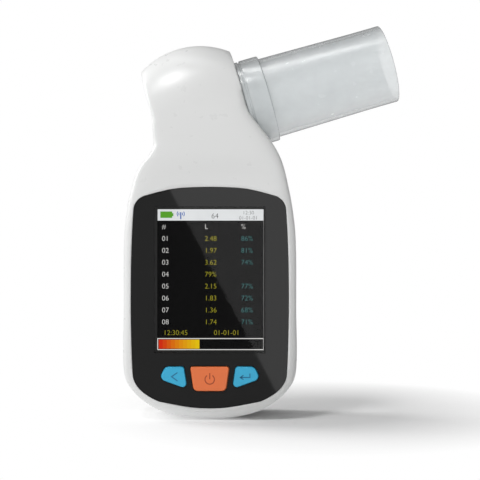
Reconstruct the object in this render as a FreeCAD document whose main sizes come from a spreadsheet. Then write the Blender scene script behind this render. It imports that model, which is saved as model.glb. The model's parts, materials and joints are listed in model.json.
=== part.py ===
import FreeCAD, Part
import math
import os
import re
import Sketcher

# Handheld turbine spirometer, standing on its foot with the screen towards -Y.
# Millimetres, +Z up, +X towards the mouthpiece, origin at the middle of the foot.
# The flow parts are drawn along the tube axis: their own X runs along the tube from the
# point where the axis crosses X = 0, and Placement tilts them into the head.

SIZES = {
    # Casing: the slab that is held in the hand
    "body_width": 70.4,
    "front_depth": 17.2,
    "back_depth": 15.5,
    "foot_half_width": 12.0,
    "foot_half_depth": 9.0,
    "base_corner_height": 21.0,
    "base_round_height": 7.0,
    "front_squareness": 12.0,
    "back_squareness": 4.5,
    "wall": 2.0,
    "front_wall": 3.8,
    "seam_gap": 0.3,
    "seam_behind": 1.0,
    # Casing: shoulders, neck and head
    "shoulder_start": 62.0,
    "slope_start": 96.5,
    "slope_end": 107.5,
    "neck_left": 22.8,
    "neck_left_height": 112.0,
    "neck_right": 14.8,
    "neck_right_height": 128.0,
    "head_half_depth": 20.5,
    "head_squareness": 14.0,
    "head_crowning": 0.05,
    "head_left": 23.1,
    "head_right": 14.8,
    "head_top": 30.0,
    "head_top_offset": 5.5,
    "head_crown_radius": 33.0,
    "head_left_edge": 1.5,
    "head_right_edge": 0.8,
    "head_join": 4.0,
    "head_join_squareness": 28.0,
    "head_step": 0.05,
    "tube_tilt": 16.1,
    "tube_height": 125.4,
    # Front panel
    "panel_face": 16.7,
    "panel_thickness": 1.5,
    "panel_corner_half_width": 30.5,
    "panel_top_corner": 91.8,
    "panel_bottom_corner": 7.4,
    "panel_side_radius": 640.0,
    "panel_top_radius": 180.0,
    "panel_bottom_radius": 200.0,
    "panel_top_fillet": 5.5,
    "panel_bottom_fillet": 13.0,
    "panel_gap": 0.1,
    # Display
    "screen_width": 43.2,
    "screen_height": 57.6,
    "screen_middle": 56.9,
    "window_margin": 0.8,
    "module_width": 49.0,
    "module_height": 66.0,
    "module_thickness": 2.0,
    "module_gap": 0.2,
    "tray_wall": 0.9,
    "tray_floor": 0.8,
    "fit_gap": 0.1,
    # Keys
    "key_face": 17.4,
    "key_travel": 0.6,
    "key_gap": 0.3,
    "key_rest_gap": 0.05,
    "key_stem_inset": 2.0,
    "key_flange": 0.6,
    "key_flange_overlap": 0.6,
    "key_edge_radius": 0.5,
    "power_middle": 17.0,
    "power_top_half": 7.9,
    "power_bottom_half": 6.5,
    "power_half_height": 4.9,
    "side_key_inner_top": 10.5,
    "side_key_inner_bottom": 9.1,
    "side_key_outer_top": 17.9,
    "side_key_outer_bottom": 20.4,
    "side_key_top": 21.9,
    "side_key_shoulder": 17.0,
    "side_key_low": 12.9,
    "side_key_radius_far": 2.6,
    "side_key_radius_top": 1.2,
    "side_key_radius_low": 1.5,
    "side_key_radius_tip": 2.0,
    "power_radius_top": 0.9,
    "power_radius_low": 2.0,
    # Electronics
    "board_front": 9.6,
    "board_thickness": 1.6,
    "board_half_width": 23.5,
    "board_bottom": 9.0,
    "board_top": 98.0,
    "board_tongue_half": 6.0,
    "board_tongue_bottom": 4.6,
    "post_radius": 2.0,
    "post_high": 95.3,
    "post_low": 12.0,
    "post_half_spacing": 20.8,
    "post_screw_radius": 0.8,
    "switch_side": 6.0,
    "switch_height": 1.2,
    "plunger_radius": 1.5,
    "plunger_height": 0.5,
    "side_switch_x": 14.3,
    "side_switch_z": 17.4,
    "battery_half_width": 17.0,
    "battery_bottom": 29.0,
    "battery_length": 50.0,
    "battery_thickness": 6.0,
    "pad_thickness": 0.6,
    "pad_half_width": 9.0,
    "battery_gap": 0.3,
    "socket_half_width": 3.8,
    "socket_height": 2.8,
    "socket_length": 5.4,
    "socket_wall": 0.4,
    "socket_clearance": 0.3,
    "buzzer_radius": 4.5,
    "buzzer_height": 3.0,
    "buzzer_x": 14.0,
    "buzzer_z": 87.0,
    "sound_hole_radius": 0.6,
    "sound_hole_pitch": 2.4,
    "radio_width": 13.0,
    "radio_length": 17.0,
    "radio_height": 2.2,
    "radio_x": -12.5,
    "radio_z": 86.0,
    # Screws that close the casing
    "boss_radius": 3.4,
    "boss_half_spacing": 29.5,
    "boss_low": 26.0,
    "boss_high": 86.0,
    "screw_radius": 1.1,
    "screw_head_radius": 2.1,
    "screw_head_height": 1.5,
    "screw_length": 11.0,
    "screw_seat": 7.0,
    "screw_head_clearance": 0.3,
    # Flow path
    "barrel_radius": 15.0,
    "airway_radius": 13.4,
    "outlet_radius": 13.9,
    "outlet_length": 7.5,
    "barrel_end_inset": 0.3,
    "flange_gap": 0.2,
    "flange_length": 1.4,
    "flange_radius": 17.9,
    "groove_length": 0.7,
    "groove_depth": 0.5,
    "collar_radius": 18.1,
    "collar_end": 25.0,
    "collar_chamfer": 0.5,
    "socket_gap": 0.05,
    "socket_depth": 9.6,
    "mouthpiece_stop_gap": 0.5,
    "mouthpiece_radius": 16.75,
    "mouthpiece_end_radius": 16.2,
    "mouthpiece_bore": 15.1,
    "mouthpiece_end": 77.0,
    "mouthpiece_lip": 0.7,
    "mouth_land": 12.0,
    "sleeve_gap": 0.1,
    "sleeve_wall": 1.7,
    "seal_wire": 0.5,
    "seal_at": 10.4,
    "rib_width": 1.6,
    "rib_left": -16.5,
    "rib_right": 8.5,
    "rib_low": 21.5,
    "collar_clearance": 0.6,
    "outlet_clearance": 0.3,
    "shroud_wall": 1.5,
    # Turbine
    "stator_length": 6.0,
    "stator_ring": 0.9,
    "stator_hub": 2.4,
    "stator_blade": 0.8,
    "stator_twist": 38.0,
    "stator_spacing": 7.6,
    "rotor_length": 6.4,
    "rotor_radius": 10.5,
    "rotor_thickness": 0.5,
    "turbine_middle": -4.0,
    "shaft_radius": 0.5,
    "shaft_half_length": 6.6,
    "bearing_radius": 1.2,
    "bearing_length": 2.4,
    "bearing_gap": 0.05,
    "press_gap": 0.01,
    # Flow sensor
    "sensor_plate": 1.0,
    "sensor_half_width": 8.0,
    "sensor_radius": 1.5,
    "sensor_height": 3.0,
    "sensor_spacing": 4.5,
}

SECTION_POINTS = 48
HOLLOW_POINTS = 32
CORNER_CROWDING = 0.17
ARCH_POINTS = 13
# Where sections are taken along the shoulders' curves, and on to the head's join
SHOULDER_SHARES = (0.14, 0.25, 0.33, 0.39, 0.45, 0.51, 0.58, 0.67, 0.78, 0.89, 1.0)
JOIN_SHARES = (0.25, 0.5, 0.75)
STATOR_BLADES = 6
# Longer than the casing in every direction, for the boxes and rods that cut it
REACH = 200.0

doc = FreeCAD.newDocument("Spirometer")
sheet = doc.addObject("Spreadsheet::Sheet", "Sizes")
for row, (alias, value) in enumerate(SIZES.items(), 1):
    sheet.set("A%d" % row, alias)
    sheet.set("B%d" % row, str(value))
    sheet.setAlias("B%d" % row, alias)
doc.recompute()

Vec = FreeCAD.Vector
DEPTH = Vec(0, 1, 0)
NODES = []


# Reading and binding sizes

def link(text):
    """Write the aliases in an expression with the sheet's name in front."""
    return re.sub(r"[a-z][a-z_]*", lambda word: "Sizes." + word.group()
                  if word.group() in SIZES else word.group(), text)


def number(text):
    return float(sheet.evalExpression(link(text)))


def bind(item, field, text):
    item.setExpression(field, link(text))


def node(item, name):
    """Mark a document object as a finished piece."""
    item.Label = name
    NODES.append(item)
    return item


def tube_placement():
    turn = FreeCAD.Rotation(DEPTH, -number("tube_tilt"))
    return FreeCAD.Placement(Vec(0, 0, number("tube_height")), turn)


def put_on_tube(item):
    """Tilt a piece that is drawn along the tube into the head."""
    item.Placement = tube_placement()
    bind(item, "Placement.Base.z", "tube_height")
    bind(item, "Placement.Rotation.Angle", "-tube_tilt * 1 deg")
    return item


# Bodies and sketches

def start_body(name):
    return node(doc.addObject("PartDesign::Body", name), name)


def sketch_on(body, role, offset="0"):
    """A sketch on one of the body's own planes, moved along that plane's normal."""
    sketch = body.newObject("Sketcher::SketchObject", body.Name + "_sketch")
    plane = [item for item in body.Origin.OriginFeatures if item.Role == role][0]
    sketch.AttachmentSupport = [(plane, "")]
    sketch.MapMode = "FlatFace"
    bind(sketch, "AttachmentOffset.Base.z", offset)
    return sketch


def fix_point(sketch, edge, end, x, y):
    """Hold a point of the sketch at two expressions from the origin."""
    for kind, axis, text in (("DistanceX", -2, x), ("DistanceY", -1, y)):
        if text == "0":
            sketch.addConstraint(Sketcher.Constraint("PointOnObject", edge, end, axis))
        else:
            rule = Sketcher.Constraint(kind, -1, 1, edge, end, number(text))
            bind(sketch, "Constraints[%d]" % sketch.addConstraint(rule), text)


def draw_outline(sketch, corners, arcs=None):
    """A closed outline, counter-clockwise; arcs gives a radius for edges that bulge outwards."""
    arcs = arcs or {}
    first = sketch.GeometryCount
    points = [Vec(number(x), number(y), 0) for x, y in corners]
    count = len(points)
    for index, start in enumerate(points):
        stop = points[(index + 1) % count]
        if index in arcs:
            radius = number(arcs[index])
            chord = stop - start
            sagitta = radius - math.sqrt(radius ** 2 - (chord.Length / 2) ** 2)
            outward = Vec(chord.y, -chord.x, 0).normalize()
            crest = (start + stop) * 0.5 + outward * sagitta
            sketch.addGeometry(Part.Arc(start, crest, stop), False)
        else:
            sketch.addGeometry(Part.LineSegment(start, stop), False)
    for index, (x, y) in enumerate(corners):
        edge = first + index
        following = first + (index + 1) % count
        sketch.addConstraint(Sketcher.Constraint("Coincident", edge, 2, following, 1))
        fix_point(sketch, edge, 1, x, y)
    for index, radius in arcs.items():
        rule = Sketcher.Constraint("Radius", first + index, number(radius))
        bind(sketch, "Constraints[%d]" % sketch.addConstraint(rule), radius)
    return sketch


def draw_circle(sketch, x, y, radius):
    centre = Vec(number(x), number(y), 0)
    edge = sketch.addGeometry(Part.Circle(centre, Vec(0, 0, 1), number(radius)), False)
    fix_point(sketch, edge, 3, x, y)
    rule = Sketcher.Constraint("Radius", edge, number(radius))
    bind(sketch, "Constraints[%d]" % sketch.addConstraint(rule), radius)
    return sketch


def pad(body, sketch, length):
    feature = body.newObject("PartDesign::Pad", body.Name + "_pad")
    feature.Profile = sketch
    bind(feature, "Length", length)
    doc.recompute()
    return feature


def pocket(body, sketch, length):
    """A pocket that cuts the way its sketch plane faces; it has to take something away."""
    before = body.Shape.Volume
    feature = body.newObject("PartDesign::Pocket", body.Name + "_pocket")
    feature.Profile = sketch
    feature.Reversed = True
    bind(feature, "Length", length)
    doc.recompute()
    if body.Shape.Volume >= before:
        raise RuntimeError(body.Label + ": a pocket cuts nothing")
    return feature


def revolve(body, corners, arcs=None):
    """Turn a closed profile, given along and away from the body's X axis, about that axis."""
    sketch = draw_outline(sketch_on(body, "XY_Plane"), corners, arcs)
    feature = body.newObject("PartDesign::Revolution", body.Name + "_turn")
    feature.Profile = sketch
    feature.ReferenceAxis = (sketch, ["H_Axis"])
    feature.Angle = 360
    doc.recompute()
    return feature


def dress(body, kind, edges, amount):
    """A fillet or chamfer on the edges of the body's tip that a test picks."""
    base = body.Tip
    names = ["Edge%d" % (index + 1) for index, edge in enumerate(base.Shape.Edges) if edges(edge)]
    feature = body.newObject("PartDesign::" + kind, body.Name + "_" + kind.lower())
    feature.Base = (base, names)
    bind(feature, "Radius" if kind == "Fillet" else "Size", amount)
    doc.recompute()
    return feature


def along_depth(edge):
    """Is this a straight edge that runs front to back?"""
    start, stop = edge.Vertexes[0].Point, edge.Vertexes[-1].Point
    return (stop - start).cross(DEPTH).Length < 1e-6 < (stop - start).Length


def plate(name, back, front, corners):
    """A flat piece that faces front, between two depths in front of the middle plane."""
    body = start_body(name)
    pad(body, draw_outline(sketch_on(body, "XZ_Plane", back), corners), front + " - " + back)
    return body


def solid_feature(name, shape):
    feature = doc.addObject("Part::Feature", name)
    feature.Shape = shape
    return node(feature, name)


# The casing's outer form, and the same form drawn in by a wall for its hollow

def smooth(value):
    value = min(max(value, 0.0), 1.0)
    return value * value * (3 - 2 * value)


def bezier(points, share):
    """A point of a cubic curve at a share of its length."""
    rest = 1 - share
    weights = (rest ** 3, 3 * rest ** 2 * share, 3 * rest * share ** 2, share ** 3)
    return sum((point * weight for point, weight in zip(points, weights)), Vec(0, 0, 0))


def even_steps(count):
    """The same parameters for every section, so that a loft runs evenly from one to the next."""
    return [step / count for step in range(count + 1)]


def front_reach(point):
    """How far the front stands forward at a point: panel plane, slope, then the head."""
    slope = smooth((point.z - number("slope_start")) / number("slope_end - slope_start"))
    reach = number("front_depth") + number("head_half_depth - front_depth") * slope
    return reach, number("head_crowning") * slope


def back_reach(point):
    """How far the back stands out: a longer slope up to the head."""
    slope = smooth((point.z - number("shoulder_start")) / number("slope_end - shoulder_start"))
    reach = number("back_depth") + number("head_half_depth - back_depth") * slope
    return reach, number("head_crowning") * slope


def head_rounding(point):
    """The share of the head's depth that is left at this height over the tube's axis."""
    tilt = math.radians(number("tube_tilt"))
    over = point.x * -math.sin(tilt) + (point.z - number("tube_height")) * math.cos(tilt)
    return math.sqrt(1 - (max(over, 0) / number("head_top")) ** 2)


def section(left, right, squareness, inset, base_share=1.0):
    """A closed outline through two side points, with its depth read at each of its points."""
    middle = (left + right) * 0.5
    half = (right - left) * 0.5
    half = half * (1 - inset / half.Length)
    count = SECTION_POINTS if inset < number("wall") else HOLLOW_POINTS
    points = []
    for step in range(count):
        even = 2 * math.pi * step / count
        turn = even + CORNER_CROWDING * math.sin(4 * even)
        behind = math.sin(turn) > 0
        power = squareness[1] if behind else squareness[0]
        size = (abs(math.cos(turn)) ** power + abs(math.sin(turn)) ** power) ** (-1 / power)
        share = size * math.cos(turn)
        point = middle + half * share
        reach, crowning = back_reach(point) if behind else front_reach(point)
        wall = inset if behind else inset * number("front_wall / wall")
        foot = number("foot_half_depth")
        depth = (foot + (reach - foot) * base_share - wall) * head_rounding(point)
        depth *= 1 - crowning * share ** 2
        points.append(point + DEPTH * (size * math.sin(turn) * depth))
    curve = Part.BSplineCurve()
    curve.interpolate(Points=points, PeriodicFlag=True, Parameters=even_steps(count))
    return Part.Wire(curve.toShape())


def base_sections(inset):
    """From the flat foot up round the base corners to the straight sides."""
    squareness = (number("front_squareness"), number("back_squareness"))
    corner, foot = number("base_corner_height"), number("foot_half_width")
    half = number("body_width") / 2
    sections = []
    for angle in (0, 8, 18, 30, 45, 60, 75, 90):
        rise = 1 - math.cos(math.radians(angle))
        width = foot + (half - foot) * math.sin(math.radians(angle))
        height = corner * rise
        over = min(height / number("base_round_height"), 1)
        share = math.sqrt(1 - (1 - over) ** 2)
        lifted = inset + height * (corner - inset) / corner
        left, right = Vec(-width, 0, lifted), Vec(width, 0, lifted)
        sections.append(section(left, right, squareness, inset, share))
    return sections


def side_curves():
    """The left and right sides from the shoulders to the neck, as seen from the front."""
    half, start = number("body_width") / 2, number("shoulder_start")
    left_top = Vec(-number("neck_left"), 0, number("neck_left_height"))
    right_top = Vec(number("neck_right"), 0, number("neck_right_height"))
    left = (Vec(-half, 0, start), Vec(-half, 0, left_top.z), left_top - Vec(2, 0, 12), left_top)
    right = (Vec(half, 0, start), Vec(half, 0, right_top.z - 12), right_top + Vec(5.4, 0, -15), right_top)
    return left, right


def shoulder_sections(inset):
    """From the straight sides over the shoulders and the neck into the head."""
    left_curve, right_curve = side_curves()
    low = (number("front_squareness"), number("back_squareness"))
    high = number("head_squareness")
    sections = []
    start, corner = number("shoulder_start"), number("base_corner_height")
    half = number("body_width") / 2
    for share in (0.5, 1.0):
        height = corner + (start - corner) * share
        sections.append(section(Vec(-half, 0, height), Vec(half, 0, height), low, inset))
    for share in SHOULDER_SHARES:
        blend = smooth(share)
        square = tuple(value + (high - value) * blend for value in low)
        left, right = bezier(left_curve, share), bezier(right_curve, share)
        sections.append(section(left, right, square, inset))
    tube = tube_placement()
    top_left = tube.multVec(Vec(-number("head_left - head_step"), 0, number("head_join")))
    top_right = tube.multVec(Vec(number("head_right - head_step"), 0, number("head_join")))
    top = number("head_join_squareness")
    for share in JOIN_SHARES:
        square = high + (top - high) * share
        sections.append(section(left + (top_left - left) * share, right + (top_right - right) * share,
                                (square, square), inset))
    sections.append(section(top_left, top_right, (top, top), inset + number("head_step")))
    return sections


def head_arch(along, inset):
    """A section of the head across the tube: the part of a half ellipse over the join."""
    middle = number("(head_right - head_left) / 2")
    half = number("(head_right + head_left) / 2")
    radius = number("head_crown_radius")
    off = along + number("head_top_offset")
    top = number("head_top") - radius + math.sqrt(radius ** 2 - off ** 2) - inset
    crowning = 1 - number("head_crowning") * ((along - middle) / half) ** 2
    side = number("head_half_depth") * crowning - inset
    start = math.asin(number("head_join") / top)
    points = []
    for step in range(ARCH_POINTS):
        angle = start + (math.pi - 2 * start) * step / (ARCH_POINTS - 1)
        points.append(Vec(along, side * math.cos(angle), top * math.sin(angle)))
    curve = Part.BSplineCurve()
    curve.interpolate(Points=points, Parameters=even_steps(ARCH_POINTS - 1))
    return Part.Wire([curve.toShape(), Part.makeLine(points[-1], points[0])])


def head_form(inset):
    """The crowned head between its two flat end faces, whose rims are rounded on the outside."""
    left, right = -number("head_left") + inset, number("head_right") - inset
    arches = [head_arch(left + (right - left) * step / 6, inset) for step in range(7)]
    form = Part.makeLoft(arches, True, False)
    if inset == 0:
        for end, radius in ((left, "head_left_edge"), (right, "head_right_edge")):
            rims = [edge for edge in form.Edges if edge.Length > number("1.5 * head_top")
                    and abs(edge.CenterOfMass.x - end) < 1e-3]
            form = form.makeFillet(number(radius), rims)
    form.Placement = tube_placement()
    return form


def casing_form(inset):
    slab = Part.makeLoft(base_sections(inset) + shoulder_sections(inset), True, False)
    return slab.fuse(head_form(inset))


def slab_box(front, back):
    """Everything between two depths, counted in front of the middle plane."""
    return Part.makeBox(2 * REACH, front - back, 2 * REACH, Vec(-REACH, -front, -REACH))


def tube_rod(radius, start, stop):
    """A cylinder round the tube's axis between two distances along it."""
    cylinder = Part.makeCylinder(number(radius), number(stop) - number(start),
                                 Vec(number(start), 0, 0), Vec(1, 0, 0))
    cylinder.Placement = tube_placement()
    return cylinder


def depth_rod(radius, x, z, front, back):
    """A cylinder that runs front to back; both depths are counted in front of the middle."""
    base = Vec(number(x), -number(front), number(z))
    return Part.makeCylinder(number(radius), number(front) - number(back), base, DEPTH)


def depth_prism(corners, front, back):
    """A straight-sided block from an outline seen from the front."""
    points = [Vec(number(x), -number(front), number(z)) for x, z in corners]
    face = Part.Face(Part.makePolygon(points + points[:1]))
    return face.extrude(DEPTH * (number(front) - number(back)))


def box_corners(left, right, low, high):
    return [(left, low), (right, low), (right, high), (left, high)]


def centred_corners(half, high):
    """A rectangle about the middle of the screen, from half its width and half its height."""
    return box_corners("-" + half, half, "screen_middle - " + high, "screen_middle + " + high)


# Where the keys, screws and posts are: outlines and places as expressions

def power_corners(grow):
    """The middle key, wider at its top; grow moves every side outwards."""
    top, bottom = "power_top_half + " + grow, "power_bottom_half + " + grow
    high = "power_middle + power_half_height + " + grow
    low = "power_middle - power_half_height - (" + grow + ")"
    return [("-(" + bottom + ")", low), (bottom, low), (top, high), ("-(" + top + ")", high)]


def side_corners(side, grow):
    """A side key, which leans away from the middle one; side is -1 on the left."""
    inward = " - (" + grow + ")"
    outward = " + (" + grow + ")"
    high = "side_key_top" + outward
    corners = [("side_key_outer_bottom" + outward, "side_key_shoulder" + inward + " / 2"),
               ("side_key_inner_bottom" + inward, "side_key_low" + inward),
               ("side_key_inner_top" + inward, high), ("side_key_outer_top" + outward, high)]
    corners = [("%d * (%s)" % (side, x), z) for x, z in corners]
    return corners if side < 0 else corners[::-1]


KEYS = {
    "key_left": lambda grow: side_corners(-1, grow),
    "key_power": power_corners,
    "key_right": lambda grow: side_corners(1, grow),
}
SWITCHES = [("-side_switch_x", "side_switch_z"), ("0", "power_middle"),
            ("side_switch_x", "side_switch_z")]
BOSSES = [(sign + "boss_half_spacing", z) for sign in ("", "-") for z in ("boss_low", "boss_high")]
POSTS = [(sign + "post_half_spacing", z) for sign in ("", "-") for z in ("post_low", "post_high")]

PANEL_BACK = "(panel_face - panel_thickness)"
INNER_FRONT = "(front_depth - front_wall)"
INNER_BACK = "(back_depth - wall)"
BOARD_BACK = "(board_front - board_thickness)"
SLEEVE_BORE = "(barrel_radius + sleeve_gap)"
SLEEVE_OUTSIDE = "(barrel_radius + sleeve_gap + sleeve_wall)"
SLEEVE_LEFT = "(-head_left + wall + fit_gap)"
SLEEVE_RIGHT = "(head_right - wall - fit_gap)"
COLLAR_START = "(head_right + flange_gap + flange_length + groove_length)"
SOCKET_FLOOR = "(collar_end - socket_depth)"
FLANGE_BACK = "(front_depth - front_wall - fit_gap - key_flange)"
PLUNGER_TOP = "(board_front + switch_height + plunger_height)"
STEM_BACK = "(board_front + switch_height + plunger_height + key_travel + key_rest_gap)"


# The casing's two shells

def rib_plate(at):
    """A plate across the head that carries the flow sleeve and the sensor boards."""
    half = 2 * number("head_half_depth")
    low, high = -number("rib_low"), number("head_top")
    plate = Part.makeBox(number("rib_width"), 2 * half, high - low,
                         Vec(number(at) - number("rib_width") / 2, -half, low))
    plate.Placement = tube_placement()
    return plate


def casing_fittings():
    """What is moulded inside: bosses, board posts, ribs and the walls round the tube's two ends."""
    bosses = [depth_rod("boss_radius", x, z, "front_depth - wall", "-(back_depth - wall / 2)")
              for x, z in BOSSES]
    posts = [depth_rod("post_radius", x, z, INNER_FRONT + " + wall / 4", "board_front")
             for x, z in POSTS]
    ribs = [rib_plate("rib_left"), rib_plate("rib_right")]
    shroud_radius = "collar_radius + collar_clearance + shroud_wall"
    shroud = tube_rod(shroud_radius, "head_right - wall", "collar_end")
    duct_radius = "barrel_radius + outlet_clearance + shroud_wall"
    duct = tube_rod(duct_radius, "-(head_left + head_right)", "-head_left + wall")
    return shroud.multiFuse([duct] + ribs + bosses + posts)


def casing_cuts():
    """What is cut from the casing once it has its fittings."""
    panel = doc.getObject("front_panel_outline").Shape.copy()
    cuts = [panel.makeOffsetShape(number("panel_gap"), 0.01, join=2)]
    screen = centred_corners("(screen_width / 2 + fit_gap)", "(screen_height / 2 + fit_gap)")
    cuts.append(depth_prism(screen, "panel_face", "board_front"))
    for corners in KEYS.values():
        cuts.append(depth_prism(corners("key_gap"), "panel_face", INNER_FRONT + " - wall"))
    for x, z in BOSSES:
        tip = "screw_length - screw_seat + wall"
        cuts.append(depth_rod("screw_radius + fit_gap / 2", x, z, tip, "-back_depth"))
        head_radius = "screw_head_radius + screw_head_clearance"
        cuts.append(depth_rod(head_radius, x, z, "-screw_seat", "-(2 * back_depth)"))
    for x, z in POSTS:
        cuts.append(depth_rod("post_screw_radius + fit_gap / 2", x, z, INNER_FRONT + " - fit_gap",
                              "board_front - fit_gap"))
    half = "(socket_half_width + socket_clearance)"
    mouth = box_corners("-" + half, half, "-wall", "2 * wall")
    cuts.append(depth_prism(mouth, BOARD_BACK + " + socket_clearance",
                            BOARD_BACK + " - socket_height - socket_clearance"))
    for step in range(-2, 3):
        cuts.append(depth_rod("sound_hole_radius", "buzzer_x + %d * sound_hole_pitch" % step,
                              "buzzer_z", "-(back_depth - 2 * wall)", "-(2 * back_depth)"))
    cuts.append(tube_rod("barrel_radius + outlet_clearance", "-(head_left + head_right)",
                         "head_right + wall"))
    cuts.append(tube_rod(SLEEVE_OUTSIDE + " + fit_gap / 2", SLEEVE_LEFT, SLEEVE_RIGHT))
    cuts.append(tube_rod("collar_radius + collar_clearance", "head_right", "2 * collar_end"))
    return cuts


def make_shells():
    outer = casing_form(0.0)
    hollow = outer.cut(casing_form(number("wall")))
    casing = hollow.fuse(casing_fittings().common(outer))
    casing = casing.cut(casing_cuts())
    front_edge = number("seam_gap / 2 - seam_behind")
    rear_edge = number("-seam_gap / 2 - seam_behind")
    solid_feature("front_shell", casing.common(slab_box(REACH, front_edge)))
    solid_feature("rear_shell", casing.common(slab_box(rear_edge, -REACH)))


# The front: panel, window and keys

def near(edge, corners, reach=0.6):
    """Is a front-to-back edge at one of these corners, seen from the front?"""
    point = edge.CenterOfMass
    return any(math.hypot(point.x - number(x), point.z - number(z)) < reach for x, z in corners)


def round_corners(body, corners, radius):
    return dress(body, "Fillet", lambda edge: along_depth(edge) and near(edge, corners), radius)


def on_depth(depth):
    """A test for edges that lie on one plane that faces front."""
    place = -number(depth)
    return lambda edge: max(abs(edge.BoundBox.YMin - place), abs(edge.BoundBox.YMax - place)) < 1e-4


def side_rounding(side):
    """A side key's corners with the radius of each."""
    names = ("side_key_radius_tip", "side_key_radius_low", "side_key_radius_top",
             "side_key_radius_far")
    return names if side < 0 else names[::-1]


def key_rounding(name, corners):
    """A key's corners, each with its radius."""
    if name == "key_power":
        return zip(corners, ["power_radius_low"] * 2 + ["power_radius_top"] * 2)
    return zip(corners, side_rounding(-1 if name == "key_left" else 1))


def make_panel():
    """The black panel with its window and key openings, sunk in the front shell."""
    body = doc.addObject("PartDesign::Body", "front_panel")
    half = "panel_corner_half_width"
    bottom, top = "panel_bottom_corner", "panel_top_corner"
    corners = [("-" + half, bottom), (half, bottom), (half, top), ("-" + half, top)]
    arcs = {0: "panel_bottom_radius", 1: "panel_side_radius",
            2: "panel_top_radius", 3: "panel_side_radius"}
    outline = draw_outline(sketch_on(body, "XZ_Plane", PANEL_BACK), corners, arcs)
    pad(body, outline, "panel_thickness")
    round_corners(body, corners[:2], "panel_bottom_fillet")
    round_corners(body, corners[2:], "panel_top_fillet")
    recess = doc.addObject("Part::Feature", "front_panel_outline")
    in_front = body.Shape.translated(-DEPTH * number("panel_thickness"))
    recess.Shape = body.Shape.fuse(in_front).removeSplitter()
    window = centred_corners("(screen_width / 2 + window_margin)",
                             "(screen_height / 2 + window_margin)")
    pocket(body, draw_outline(sketch_on(body, "XZ_Plane", PANEL_BACK), window), "panel_thickness")
    for name, outline in KEYS.items():
        corners = outline("key_gap")
        pocket(body, draw_outline(sketch_on(body, "XZ_Plane", PANEL_BACK), corners), "panel_thickness")
        for corner, radius in key_rounding(name, corners):
            round_corners(body, [corner], radius + " + key_gap")
    node(body, "front_panel")


def make_window():
    plate("display_window", PANEL_BACK, "panel_face",
          centred_corners("(screen_width / 2 + window_margin - fit_gap)",
                          "(screen_height / 2 + window_margin - fit_gap)"))


def make_key(name):
    """A key that slides in the panel, with a flange inside that keeps it in and a stem to its switch."""
    body = start_body(name)
    corners = KEYS[name]("0 * key_gap")
    pad(body, draw_outline(sketch_on(body, "XZ_Plane", FLANGE_BACK), corners), "key_face - " + FLANGE_BACK)
    for corner, radius in key_rounding(name, corners):
        round_corners(body, [corner], radius)
    dress(body, "Fillet", on_depth("key_face"), "key_edge_radius")
    flange = KEYS[name]("key_gap + key_flange_overlap")
    pad(body, draw_outline(sketch_on(body, "XZ_Plane", FLANGE_BACK), flange), "key_flange")
    stem = KEYS[name]("-key_stem_inset")
    pad(body, draw_outline(sketch_on(body, "XZ_Plane", STEM_BACK), stem), FLANGE_BACK + " - " + STEM_BACK)


# The display, the board and what is on it

def make_display():
    """The display module and the tray that holds it over the board."""
    front = "(" + INNER_FRONT + " - module_gap)"
    back = "(" + INNER_FRONT + " - module_gap - module_thickness)"
    plate("display_module", back, front,
          centred_corners("(module_width / 2)", "(module_height / 2)"))
    tray = plate("display_tray", "board_front", front + " - fit_gap",
                 centred_corners("(module_width / 2 + fit_gap + tray_wall)",
                                 "(module_height / 2 + fit_gap + tray_wall)"))
    bed = centred_corners("(module_width / 2 + fit_gap)", "(module_height / 2 + fit_gap)")
    pocket(tray, draw_outline(sketch_on(tray, "XZ_Plane", back), bed), front + " - " + back)
    pocket(tray, draw_outline(sketch_on(tray, "XZ_Plane", "board_front"), bed),
           back + " - tray_floor - board_front")


def make_board():
    body = start_body("main_board")
    half, tongue = "board_half_width", "board_tongue_half"
    low, high, tip = "board_bottom", "board_top", "board_tongue_bottom"
    outline = [("-" + half, low), ("-" + tongue, low), ("-" + tongue, tip), (tongue, tip), (tongue, low),
               (half, low), (half, high), ("-" + half, high)]
    sketch = draw_outline(sketch_on(body, "XZ_Plane", BOARD_BACK), outline)
    for x, z in POSTS:
        draw_circle(sketch, x, z, "post_screw_radius + fit_gap / 2")
    pad(body, sketch, "board_thickness")


def linked_box(name, length, width, height, x, y, z):
    """A box whose sides and lowest corner follow the sheet."""
    box = doc.addObject("Part::Box", name)
    for field, value in (("Length", length), ("Width", width), ("Height", height),
                         ("Placement.Base.x", x), ("Placement.Base.y", y), ("Placement.Base.z", z)):
        bind(box, field, value)
    return box


def linked_rod(name, radius, length, x, y, z):
    """A cylinder that runs from front to back and follows the sheet."""
    rod = doc.addObject("Part::Cylinder", name)
    rod.Placement.Rotation = FreeCAD.Rotation(Vec(1, 0, 0), -90)
    for field, value in (("Radius", radius), ("Height", length),
                         ("Placement.Base.x", x), ("Placement.Base.y", y), ("Placement.Base.z", z)):
        bind(rod, field, value)
    return rod


def group(name, items):
    together = doc.addObject("Part::Compound", name)
    together.Links = items
    return node(together, name)


def fused(name, items):
    joined = doc.addObject("Part::MultiFuse", name)
    joined.Shapes = items
    return joined


def make_switches():
    switches = []
    for index, (x, z) in enumerate(SWITCHES):
        case = linked_box("switch_case_%d" % index, "switch_side", "switch_height", "switch_side",
                          x + " - switch_side / 2", "-(board_front + switch_height)",
                          z + " - switch_side / 2")
        plunger = linked_rod("switch_plunger_%d" % index, "plunger_radius",
                             "plunger_height + switch_height / 2", x, "-" + PLUNGER_TOP, z)
        switches.append(fused("switch_%d" % index, [case, plunger]))
    group("key_switches", switches)


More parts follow.
